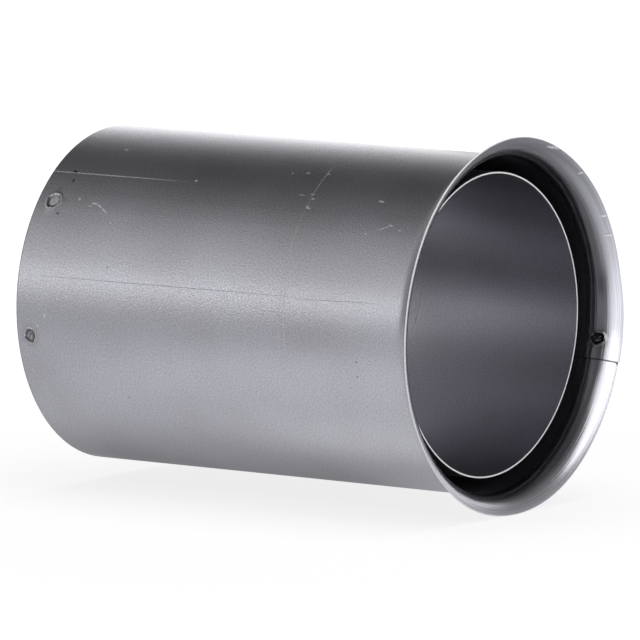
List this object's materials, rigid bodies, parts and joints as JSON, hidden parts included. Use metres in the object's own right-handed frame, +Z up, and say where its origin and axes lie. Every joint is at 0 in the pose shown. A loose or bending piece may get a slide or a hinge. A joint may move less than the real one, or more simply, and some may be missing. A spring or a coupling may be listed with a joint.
{
  "type": "wall vent sleeve",
  "caption": "Double-walled round wall sleeve of bare steel sheet, with a flared mouth and a set-back inner sleeve that takes a stove pipe.",
  "frame": {"origin": "on the axis of the sleeve at the face of the wall, where the flare ends and the straight outside begins", "axes": "+Y along the axis into the wall, -Y out of the mouth into the room, +Z up"},
  "size_m": [0.1889, 0.2507, 0.189],
  "materials": {
    "outer_sheet": "bare mill finish, semi-bright, with handling scratches",
    "inner_sheet": "bare mill finish, semi-bright, with a bright cut edge"
  },
  "bodies": {
    "root": {"outer_sleeve": "outer_sheet", "inner_sleeve": "inner_sheet"}
  },
  "joints": []
}
